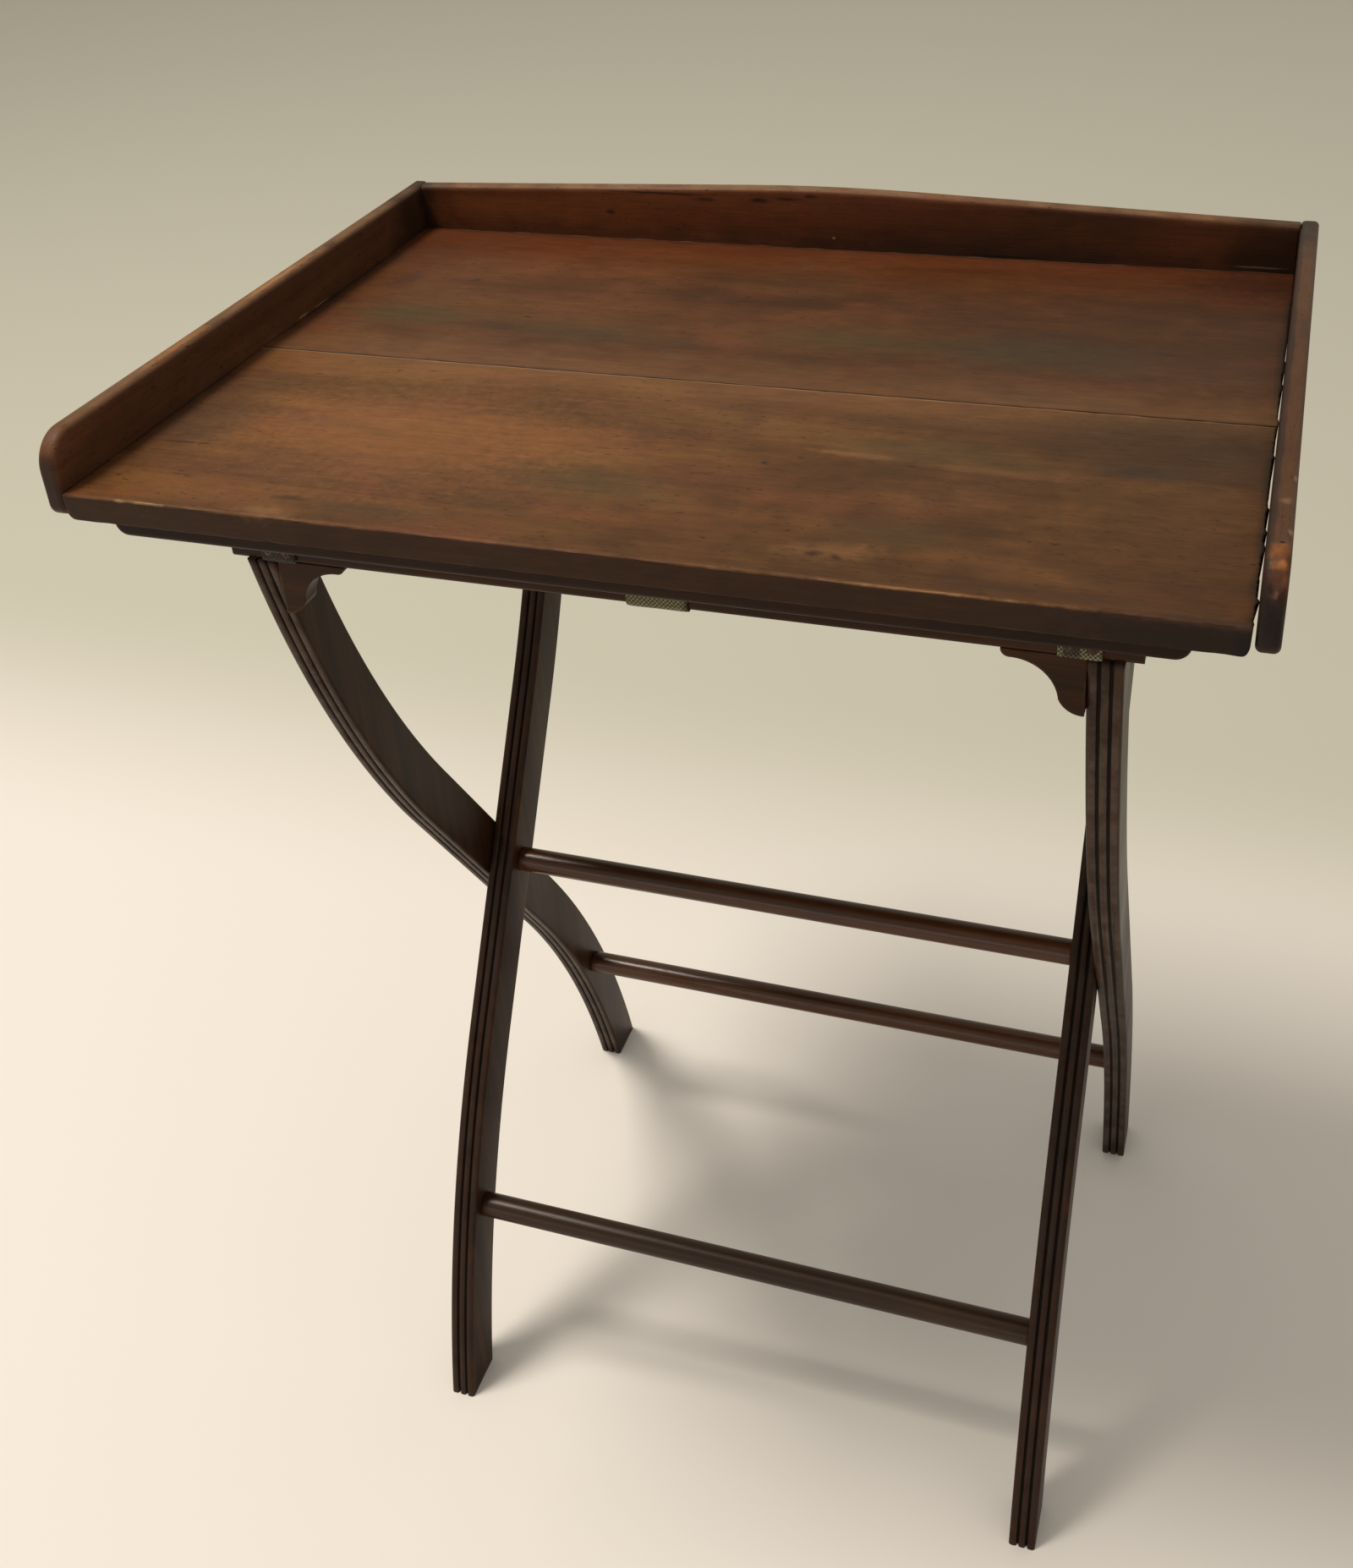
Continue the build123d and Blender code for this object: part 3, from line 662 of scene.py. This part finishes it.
frontWood = woodMaterial("varnished_mahogany_front_board", {
    **boardLook,
    "stops": ((0.34, "#4e3116"), (0.47, "#5d3b1b"), (0.60, "#694521")),
    "bands": (
        *boardBands,
        (1, -60, -26, 0.18, tan),           # paler towards the seam, with a pale and a dark line along it
        (1, -22.3, -21.4, 0.5, "#957050"),
        (1, -21, -20.2, 0.9, "dirt"),
    ),
    "spots": (
        # broad tints
        ((-168, -128, 831), (150, 88, 9), 0, 0.4, "#8a5a34"),
        ((295, -38, 831), (110, 34, 9), 0, 0.5, "#33200e"),
        ((-303, -130, 831), (36, 95, 9), 0, 0.45, "#463427"),
        # olive and brown stains
        ((-32, -165, 831), (75, 22, 9), -4, 0.6, olive),
        ((150, -90, 831), (80, 20, 9), -3, 0.55, olive),
        ((265, -93, 831), (30, 12, 9), 0, 0.7, "#35291d"),
        ((150, -190, 831), (45, 22, 9), 5, 0.5, olive),
        ((-150, -222, 831), (60, 14, 9), -3, 0.6, "#3c2b1a"),
        ((-245, -185, 831), (60, 30, 9), 8, 0.3, "#5c3826"),
        # scratches, rubbed patches and knots
        ((-300, -165, 831), (24, 1.5, 9), 2, 0.75, knot),
        ((-196, -218, 831), (15, 4, 9), 0, 0.6, knot),
        ((-203, -236, 831), (24, 7, 9), 0, 0.45, tan),
        ((119, -214, 831), (34, 13, 9), 6, 0.28, tan),
        ((112, -217, 831), (6, 4.2, 9), 25, 0.85, knot),
        ((125, -219, 831), (5, 3.4, 9), -30, 0.8, knot),
        ((106, -102, 831), (34, 4, 9), -3, 0.4, "#83603a"),
        ((185, -108, 831), (46, 6, 9), -3, 0.25, "#7d5835"),
        # the front face's dark right end
        ((300, -242, 821), (85, 4, 14), 0, 0.75, "#150a03"),
        ((333, -240, 822), (12, 14, 13), 0, 0.9, "#0b0603"),
        # bare wood along the front arris, and its dark right end
        ((-276, -241.4, 831), (14, 1.4, 1.2), 0, 0.7, "#a98861"),
        ((-294, -241.4, 831), (5, 1.4, 1.2), 0, 0.6, "#a98861"),
        ((172, -241.4, 831), (60, 1.2, 1), 0, 0.5, "#a57d56"),
        ((318, -240.5, 831), (70, 4, 3), 0, 0.85, "#3a2519"),
    ),
})
backWood = woodMaterial("varnished_mahogany_back_board", {
    **boardLook,
    "stops": ((0.34, "#3c2109"), (0.47, "#4a290f"), (0.60, "#563215")),
    "shift": (0.4, 0.27, 0.13),
    "bands": (
        *boardBands,
        (1, -17, -18.7, 0.85, "dirt"),      # the seam
        (1, 150, 222, 0.6, "#5a2c15"),      # redder towards the back gallery, with grime in the corner
        (1, 222, 229, 0.4, "dirt"),
        (1, 30, -14, 0.45, "#6c4a2c"),      # paler towards the seam
        (1, 228.4, 229.2, 0.35, "#8d785c"),
    ),
    "spots": (
        # olive and brown stains
        ((-255, 55, 831), (60, 26, 9), 0, 0.75, olive),
        ((-120, 48, 831), (90, 22, 9), -3, 0.5, olive),
        ((60, 62, 831), (80, 26, 9), 0, 0.6, olive),
        ((185, 60, 831), (90, 34, 9), 0, 0.7, "#3a2f1c"),
        ((300, 180, 831), (40, 40, 9), 0, 0.6, "#48210f"),
        ((325, 205, 831), (75, 42, 9), 0, 0.55, "#27150c"),
        # a scratch and knots
        ((262, 73, 831), (15, 1.6, 9), -8, 0.9, knot),
        ((-240, 125, 831), (7, 3, 9), 30, 0.75, knot),
        ((-171, 63, 831), (5, 1.5, 9), -25, 0.8, knot),
        # the red-brown left end
        ((-290, 160, 831), (30, 40, 9), 10, 0.5, "#4b2413"),
        ((-294, 118, 831), (16, 26, 9), 0, 0.5, "#3a2015"),
    ),
})


# Galleries: thin mahogany slips, planed and varnished. The eye sees a redder, darker brown than the boards',
# rubbed to bare tan wood along the top edge

galleryLook = {
    "stops": ((0.30, "#402010"), (0.50, "#552c15"), (0.70, "#683a1e")),
    "stain": "#24160c",
    "stainAmount": 0.6,
    "fleckAmount": 0.75,
    "worn": "#785a3d",
    "wearRadius": 3 * mm,
    "wearAmount": 0.5,
    "topWear": 0.85,
    "roughness": (0.46, 0.6),
    "sheen": 0.16,
    "bands": (
        (0, -302, -330, 0.8, "dirt"),       # both corners, and above the boards
        (0, 255, 325, 0.7, "dirt"),
        (2, 846, 831, 0.5, "dirt"),
    ),
    "spots": (
        # dark marks along the top
        ((-130, 230, 868.4), (60, 4, 1.1), 0, 0.8, "dirt"),
        ((-52, 230, 866), (9, 4, 2.6), 0, 0.9, "dirt"),
        ((-95, 230, 865), (12, 4, 2.2), 0, 0.7, "dirt"),
        ((-30, 230, 868), (14, 4, 1.4), 0, 0.8, "dirt"),
        ((-172, 230, 852), (5, 4, 2.4), 0, 0.8, "dirt"),
        ((-12, 230, 871), (7, 4, 1.8), 0, 0.8, "dirt"),
        # at the foot: an open joint, a pale chip and a line of dust
        ((132, 230, 832.6), (34, 4, 1.1), 0, 0.9, "#0d0806"),
        ((5, 230, 840), (1.4, 3, 1.3), 0, 0.7, "#a08a68"),
        ((310, 230, 834.6), (19, 4, 0.8), 0, 0.45, "#6f5d49", 0.8),
    ),
}
sideLook = {
    **galleryLook,
    "topWear": 0.75,
    "bands": (
        (1, 150, 236, 0.75, "dirt"),        # the back corner, above the boards, and the front end
        (2, 842, 816, 0.3, "dirt"),
        (1, -238, -242, 0.85, "#281812"),
    ),
}
leftLook = {
    **sideLook,
    # lighter than the other galleries: painted light on the inner face, which the key lamp leaves in shade
    "stops": ((0.30, "#472b1a"), (0.50, "#563521"), (0.70, "#66412b")),
    "worn": "#6c4f33",
    "spots": (
        # the top edge: bare wood and dark stretches
        ((-339, 20, 865.5), (3.4, 66, 3), 0, 0.7, "#9b6c3d"),
        ((-337, -60, 865), (6, 14, 4), 0, 0.6, "#3c2a1c"),
        ((-339, -100, 865.5), (4, 54, 3), 0, 0.6, "#966436"),
        ((-336, 90, 865), (5, 9, 4), 0, 0.5, "#33231a"),
        # dust at the foot
        ((-333, 34, 832.4), (3, 9, 1), 0, 0.7, "#9a8468"),
        ((-333, 60, 832.2), (3, 12, 0.8), 0, 0.6, "#8a745a"),
    ),
}
rightLook = {
    **sideLook,
    "stops": ((0.30, "#432414"), (0.50, "#52301b"), (0.70, "#623d26")),
    "worn": "#4c3320",
    "bands": (
        *sideLook["bands"],
        (0, 337.4, 335.2, 0.9, "#291a13"),  # the inner side, darker: painted shade
    ),
    "spots": (
        # the front end: orange where hands rub it, grey-brown on the round, almost black below
        ((342, 40, 865.5), (5, 40, 3), 0, 0.4, "#352a1f"),
        ((340, -230, 866), (8, 14, 5), 0, 0.6, "#93592f"),
        ((340, -233.5, 864.5), (8, 3.6, 5), 0, 0.6, "#a5693c", 0.4),
        ((339, -247.5, 860), (9, 11, 11), 0, 0.85, "#4a3026", 0.85),
        ((343, -240, 857), (2.4, 6, 5), 0, 0.55, "#70472f"),
        ((339, -243, 834), (14, 6, 19), 0, 0.92, "#110b07"),
        # a round dent in it, with a pale rim
        ((336.8, -243.5, 855), (2.2, 5, 5), 0, 0.9, "#20130e", 0.8),
        ((339.8, -243.5, 852), (1.2, 5, 4.5), 0, 0.6, "#80604e"),
        # the top edge: a nail hole, bare wood and a brown stretch
        ((340, -218.5, 865.5), (1.1, 1.2, 3), 0, 0.95, "#140c08", 0.8),
        ((340, -176, 865.5), (4, 4.5, 3), 0, 0.3, "#957655"),
        ((344, -207, 865.5), (2.2, 4, 3), 0, 0.4, "#a58a68"),
        ((344, -150, 865.5), (1.5, 5, 3), 0, 0.35, "#a58a68"),
        ((339, -60, 865.5), (5, 34, 3), 0, 0.35, "#4a2c19"),
    ),
}
alongSides = (0, 0, quarter)
galleryBack = woodMaterial("varnished_mahogany_gallery_back", galleryLook)
galleryLeft = woodMaterial("varnished_mahogany_gallery_left", leftLook, turn=alongSides)
galleryRight = woodMaterial("varnished_mahogany_gallery_right", rightLook, turn=alongSides)


# Rails, brackets, battens, legs and rods: dark mahogany, sawn to shape and waxed. The eye sees a nearly even
# deep brown with fine straight figure and a soft shine; grooves are black, the reeds' crowns rubbed greyish,
# with a painted sheen

darkLook = {
    "stops": ((0.30, "#22130a"), (0.50, "#2e1a0c"), (0.70, "#3b2412")),
    "figureLength": 300 * mm,
    "figureWidth": 12 * mm,
    "poreAmount": 0.35,
    "stain": "#1e1109",
    "stainAmount": 0.4,
    "worn": "#6a4a38",
    "roughness": (0.36, 0.48),
    "sheen": 0.12,
}
railWood = woodMaterial("polished_mahogany_rail", {
    **darkLook,
    "stops": ((0.30, "#241304"), (0.50, "#301906"), (0.70, "#3d220c")),
    "bands": ((2, 812.4, 814, 0.9, "#0d0806"),),        # near-black along the top, under the tray: painted shade
})
battenWood = woodMaterial("moulded_mahogany_batten", {
    **darkLook,
    "stops": ((0.30, "#1c0e05"), (0.50, "#251307"), (0.70, "#2f1a0c")),
    "sheen": 0.11,
})
legLook = {**darkLook, "wearAmount": 0.35, "hollows": 0.9}
legLean = math.radians(27)      # the grain runs from foot to top
# the crowns' colour is worn polish and a painted sheen, the floor's reflection: paler and greyer on the outer
# legs
outerLegWood = woodMaterial("polished_mahogany_outer_leg", {**legLook, "reedTopWearAndSheen": "#493a2f"},
                            turn=(legLean, quarter, 0))
innerLegWood = woodMaterial("polished_mahogany_inner_leg", {**legLook, "reedTopWearAndSheen": "#2e2018"},
                            turn=(-legLean, quarter, 0))

# Rods: turned and burnished, so that they shine in a narrow line; the front one is duller and darker
rodLook = {
    **darkLook,
    "mottleSize": 12 * mm,
    "wearAmount": 0.0,
    "roughness": (0.20, 0.28),
    "sheen": 0.3,
}
rodWood = woodMaterial("turned_mahogany_rod", {
    **rodLook,
    "stops": ((0.30, "#37200f"), (0.50, "#4a2a17"), (0.70, "#5a3724")),
})
frontRodWood = woodMaterial("turned_mahogany_front_rod", {
    **rodLook,
    "stops": ((0.30, "#26170c"), (0.50, "#311e11"), (0.70, "#3e2a19")),
    "roughness": (0.3, 0.4),
    "sheen": 0.22,
})

boards["front"].data.materials.append(frontWood)
boards["back"].data.materials.append(backWood)
dress(galleryBack, "gallery_back")
dress(galleryLeft, "gallery_left")
dress(galleryRight, "gallery_right")
dress(battenWood, "batten_front", "batten_back")
dress(railWood, "front_top_rail", "back_top_rail",
      *[f"{end}_bracket_{side}" for end in ("front", "back") for side in ("left", "right")])
dress(rodWood, "pivot_rod", "outer_lower_rod")
dress(frontRodWood, "inner_lower_rod")
for piece in legs["outer"]:
    piece.data.materials.append(outerLegWood)
for piece in legs["inner"]:
    piece.data.materials.append(innerLegWood)


# Jute webbing, plain woven: the eye sees a matt olive band with a fine net of yarns, dark where it is soiled

webbingLook = {
    "yarn": 1.3 * mm,
    "light": "#877e5e",
    "dark": "#343016",
    "weaveShare": 0.42,         # how much of the tone is the weave's; the rest is fuzz
    "fuzzSize": 1.111 * mm,
    "bumpDepth": 0.35 * mm,
    "soilColour": "#231b13",
    "soilSize": 3.846 * mm,
    "soilWander": 5 * mm,
    "soil": {                   # across each band: where from 0 to 1, and how soiled
        "strap_left": ((0.0, 1.0), (0.5, 0.92), (1.0, 1.0)),
        "strap_middle": ((0.0, 0.35), (0.06, 0.05), (0.9, 0.05), (1.0, 0.7)),
        "strap_right": ((0.0, 0.0), (0.1, 0.15), (0.17, 0.9), (0.47, 0.85), (0.55, 0.1), (0.93, 0.1),
                        (1.0, 0.8)),
    },
}


def webbingMaterial(name, width):
    # Two waves at right angles, one along the band and one across, multiply into an over-and-under weave
    material, tree = newMaterial("woven_jute_webbing_" + name)
    place = addNode(tree, "ShaderNodeUVMap", uv_map="weave").outputs[0]
    split = addNode(tree, "ShaderNodeSeparateXYZ", {0: place})
    waves = []
    for axis in (0, 1):
        turns = addNode(tree, "ShaderNodeMath", {0: split.outputs[axis], 1: math.pi / webbingLook["yarn"]},
                        operation="MULTIPLY")
        waves.append(addNode(tree, "ShaderNodeMath", {0: turns.outputs[0]}, operation="SINE").outputs[0])
    weave = addNode(tree, "ShaderNodeMath", {0: waves[0], 1: waves[1]}, operation="MULTIPLY")
    fuzz = addNode(tree, "ShaderNodeTexNoise", {
        "Vector": place, "Scale": 1 / webbingLook["fuzzSize"], "Detail": 3.0})
    tone = addNode(tree, "ShaderNodeMath", {
        0: weave.outputs[0], 1: webbingLook["weaveShare"], 2: fuzz.outputs["Fac"]}, operation="MULTIPLY_ADD")
    colour = addNode(tree, "ShaderNodeValToRGB", {"Fac": tone.outputs[0]},
                     stops=((0.25, webbingLook["dark"]), (0.75, webbingLook["light"])))

    # Soil, by place across the band with a ragged edge
    ragged = addNode(tree, "ShaderNodeTexNoise", {
        "Vector": place, "Scale": 1 / webbingLook["soilSize"], "Detail": 3.0})
    drift = webbingLook["soilWander"]
    across = addNode(tree, "ShaderNodeMath", {0: ragged.outputs["Fac"], 1: drift, 2: split.outputs[0]},
                     operation="MULTIPLY_ADD")
    share = addNode(tree, "ShaderNodeMapRange", {
        "Value": across.outputs[0], "From Min": (drift - width) / 2, "From Max": (drift + width) / 2})
    soil = addNode(tree, "ShaderNodeFloatCurve", {"Value": share.outputs[0]})
    curve = soil.mapping.curves[0]
    stops = webbingLook["soil"][name]
    for spare in stops[2:]:
        curve.points.new(*spare)
    for point, (where, amount) in zip(curve.points, stops):
        point.location = (where, amount)
        point.handle_type = "VECTOR"
    soil.mapping.update()
    soiled = addNode(tree, "ShaderNodeMix", {
        "Factor": soil.outputs[0], 6: colour.outputs["Color"], 7: linearColour(webbingLook["soilColour"])},
        data_type="RGBA")
    bump = addNode(tree, "ShaderNodeBump", {
        "Height": weave.outputs[0], "Strength": 1.0, "Distance": webbingLook["bumpDepth"]})
    shader = addNode(tree, "ShaderNodeBsdfPrincipled", {
        "Base Color": soiled.outputs[2], "Roughness": 0.9, "Normal": bump.outputs[0],
        "Specular IOR Level": 0.2, "Sheen Weight": 0.15, "Sheen Roughness": 0.5})
    addNode(tree, "ShaderNodeOutputMaterial", {"Surface": shader.outputs[0]})
    return material


for name, piece in straps.items():
    low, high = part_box(name)
    piece.data.materials.append(webbingMaterial(name, high.x - low.x))


# Iron fixings: the eye sees dull dark metal with specks of brown rust that take its shine away

ironLook = {
    "rustSize": 1.4286 * mm,
    "rustDepth": 0.1 * mm,
    "rustRoughness": 0.8,
    "tack": ("#4a4644", "#4d3424", 0.42),       # bare, rusted, how rough where bare
    "screw": ("#6a6560", "#54402f", 0.38),
}


def ironMaterial(name, bare, rusted, roughness):
    # A fine noise turns bare metal into rust, which is rougher and stands a little proud
    material, tree = newMaterial(name)
    coords = addNode(tree, "ShaderNodeTexCoord").outputs["Object"]
    rust = addNode(tree, "ShaderNodeTexNoise", {
        "Vector": coords, "Scale": 1 / ironLook["rustSize"], "Detail": 4.0})
    colour = addNode(tree, "ShaderNodeValToRGB", {"Fac": rust.outputs["Fac"]},
                     stops=((0.4, bare), (0.62, rusted)))
    rough = addNode(tree, "ShaderNodeMapRange", {
        "Value": rust.outputs["Fac"], "From Min": 0.35, "From Max": 0.65, "To Min": roughness,
        "To Max": ironLook["rustRoughness"]})
    bump = addNode(tree, "ShaderNodeBump", {
        "Height": rust.outputs["Fac"], "Strength": 0.6, "Distance": ironLook["rustDepth"]})
    shader = addNode(tree, "ShaderNodeBsdfPrincipled", {
        "Base Color": colour.outputs["Color"], "Metallic": 1.0, "Roughness": rough.outputs[0],
        "Normal": bump.outputs[0]})
    addNode(tree, "ShaderNodeOutputMaterial", {"Surface": shader.outputs[0]})
    return material


# Tacks: cut from iron strip and blued, nearly black. Screws: turned steel, a lighter grey
dress(ironMaterial("blued_cut_tack_iron", *ironLook["tack"]),
      *[name for name in nodes if name.startswith("tack_")])
dress(ironMaterial("dulled_screw_steel", *ironLook["screw"]),
      *[name for name in nodes if name.startswith("batten_screw_")])
print("materials dressed")


# Floor, light and camera

studio = {
    "floor": "#e8e3dc",
    "farFloor": "#c4c2b3",      # the floor turns this greyer colour from fadeFrom to fadeTo in Y
    "fadeFrom": 0.3,
    "fadeTo": 0.85,
    "floorReach": 6.0,
    "background": "#c6c3b2",
    "worldLight": "#eae3d8",
    "worldStrength": 0.6,
    "lamps": {                  # each: place, what it points at, width and height, watts, colour
        "key": ((-1.9, -0.55, 5.2), (0, 0.2, 0.4), (1.5, 1.2), 205, "#fff6ea"),
        "fill": ((-0.8, -2.4, 0.6), (0, 0, 0.45), (2.8, 0.3), 8, "#f6f3ee"),
    },
    "cameraPlace": (0.3304, -0.9563, 1.2672),
    "cameraTurn": (59.883, 3.266, 17.971),      # in degrees
    "lens": 39.42,
    "filmHeight": 36.0,
    "lensShift": (-0.0311, -0.1331),
}


def makeFloor():
    # Painted boards, matt: the eye sees one warm white ground, greyer beyond the stand
    reach = studio["floorReach"]
    corners = [(-reach, -reach, 0), (reach, -reach, 0), (reach, reach, 0), (-reach, reach, 0)]
    floor = meshPiece("floor", corners, [(0, 1, 2, 3)], False)
    material, tree = newMaterial("painted_board_floor")
    coords = addNode(tree, "ShaderNodeTexCoord").outputs["Object"]
    place = addNode(tree, "ShaderNodeSeparateXYZ", {0: coords})
    away = addNode(tree, "ShaderNodeMapRange", {
        "Value": place.outputs["Y"], "From Min": studio["fadeFrom"], "From Max": studio["fadeTo"]},
        interpolation_type="SMOOTHSTEP")
    colour = addNode(tree, "ShaderNodeMix", {
        "Factor": away.outputs[0], 6: linearColour(studio["floor"]), 7: linearColour(studio["farFloor"])},
        data_type="RGBA")
    shader = addNode(tree, "ShaderNodeBsdfPrincipled", {
        "Base Color": colour.outputs[2], "Roughness": 0.75, "Specular IOR Level": 0.2})
    addNode(tree, "ShaderNodeOutputMaterial", {"Surface": shader.outputs[0]})
    floor.data.materials.append(material)


def makeWorld():
    # Rays that the camera or a reflection sends see the pale background; the rest give soft light
    world = bpy.data.worlds.new("studio")
    bpy.context.scene.world = world
    world.use_nodes = True
    tree = world.node_tree
    tree.nodes.clear()
    rays = addNode(tree, "ShaderNodeLightPath")
    seen = rays.outputs["Is Camera Ray"]
    for kind in ("Is Glossy Ray", "Is Transmission Ray"):
        larger = addNode(tree, "ShaderNodeMath", {0: seen, 1: rays.outputs[kind]}, operation="MAXIMUM")
        seen = larger.outputs[0]
    soft = addNode(tree, "ShaderNodeBackground", {
        "Color": linearColour(studio["worldLight"]), "Strength": studio["worldStrength"]})
    pale = addNode(tree, "ShaderNodeBackground", {
        "Color": linearColour(studio["background"]), "Strength": 1.0})
    mixed = addNode(tree, "ShaderNodeMixShader", {0: seen, 1: soft.outputs[0], 2: pale.outputs[0]})
    addNode(tree, "ShaderNodeOutputWorld", {"Surface": mixed.outputs[0]})


def areaLight(name, place, target, size, power, colour):
    # The lamp shines down its own -Z, so it is tilted from there, then turned to face the target
    data = bpy.data.lights.new(name, "AREA")
    data.shape = "RECTANGLE"
    data.size, data.size_y = size
    data.energy = power
    data.color = linearColour(colour)[:3]
    light = bpy.data.objects.new(name, data)
    light.location = place
    light.visible_camera = False
    way = np.array(target) - np.array(place)
    tilt = math.acos(-way[2] / np.linalg.norm(way))
    light.rotation_euler = (tilt, 0, math.atan2(way[1], way[0]) - quarter)
    bpy.context.scene.collection.objects.link(light)


def makeCamera():
    data = bpy.data.cameras.new("camera")
    data.sensor_fit = "VERTICAL"
    data.sensor_height = studio["filmHeight"]
    data.lens = studio["lens"]
    data.shift_x, data.shift_y = studio["lensShift"]
    camera = bpy.data.objects.new("camera", data)
    camera.location = studio["cameraPlace"]
    camera.rotation_euler = [math.radians(angle) for angle in studio["cameraTurn"]]
    bpy.context.scene.collection.objects.link(camera)
    bpy.context.scene.camera = camera


makeFloor()
makeWorld()
for lampName, values in studio["lamps"].items():
    areaLight(lampName, *values)
makeCamera()
bpy.context.scene.view_settings.view_transform = "Standard"
print("studio made")
